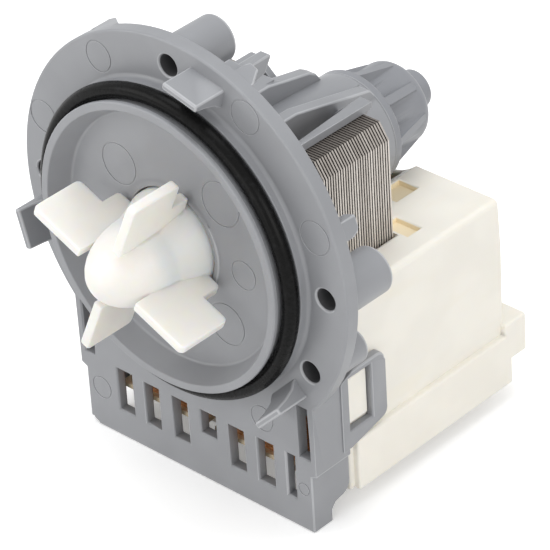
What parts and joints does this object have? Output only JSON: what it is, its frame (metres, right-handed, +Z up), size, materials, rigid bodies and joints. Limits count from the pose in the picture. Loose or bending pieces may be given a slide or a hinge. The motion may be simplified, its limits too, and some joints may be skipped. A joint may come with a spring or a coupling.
{
  "type": "washer drain pump",
  "caption": "Drain pump motor for a washing machine: round flange with O-ring spigot and open impeller, wet rotor can, split steel stator and clip-on coil housing with rear connector.",
  "frame": {"origin": "on the pump axis, in the plane of the flange's front face", "axes": "+X to the right seen from the impeller, +Y along the pump axis from the impeller to the rear, +Z up"},
  "size_m": [0.086, 0.094, 0.1013],
  "materials": {
    "grey_plastic": "fine moulded grain, light blue grey",
    "cap_plastic": "fine moulded grain, light blue grey",
    "ivory_plastic": "smooth ivory moulding",
    "bobbin_plastic": "smooth ivory moulding",
    "white_plastic": "smooth milky white",
    "carrier_plastic": "fine moulded grain",
    "sheet_steel": "stacked sheet edges, unpainted",
    "shaft_steel": "ground",
    "bush_metal": "sintered, oiled",
    "copper_wire": "enamelled copper",
    "terminal_metal": "tinned blade",
    "magnet": "sintered ferrite, ground",
    "black_rubber": "smooth, slightly oily"
  },
  "bodies": {
    "housing": {"flange_housing": "grey_plastic", "rear_cap": "cap_plastic", "o_ring": "black_rubber", "stator_left": "sheet_steel", "stator_right": "sheet_steel", "stator_yoke": "sheet_steel", "coil_housing": "ivory_plastic", "bobbin_left": "bobbin_plastic", "bobbin_right": "bobbin_plastic", "coil_left": "copper_wire", "coil_right": "copper_wire", "coil_link": "copper_wire", "lead_left": "copper_wire", "lead_right": "copper_wire", "thermal_cutout": "white_plastic", "terminal_left": "terminal_metal", "terminal_right": "terminal_metal", "bearing_carrier": "carrier_plastic", "front_bush": "bush_metal", "front_bush_holder": "black_rubber", "shaft_seal": "black_rubber", "rear_bush": "bush_metal", "rear_bush_holder": "black_rubber", "thrust_washer_front": "white_plastic", "thrust_washer_rear": "white_plastic"},
    "rotor": {"rotor_magnet": "magnet", "rotor_core": "white_plastic", "rotor_shaft": "shaft_steel", "drive_dog": "white_plastic"},
    "impeller": {"impeller": "white_plastic", "hub_cover": "white_plastic", "dog_damper": "black_rubber"}
  },
  "joints": [
    {"name": "rotor_spin", "type": "hinge", "parent": "housing", "child": "rotor", "pos_m": [0, 0, 0], "axis": [0, 1, 0], "continuous": true},
    {"name": "impeller_free_play", "type": "hinge", "parent": "rotor", "child": "impeller", "pos_m": [0, -0.012, 0], "axis": [0, 1, 0], "range_deg": [-126, 126]}
  ]
}
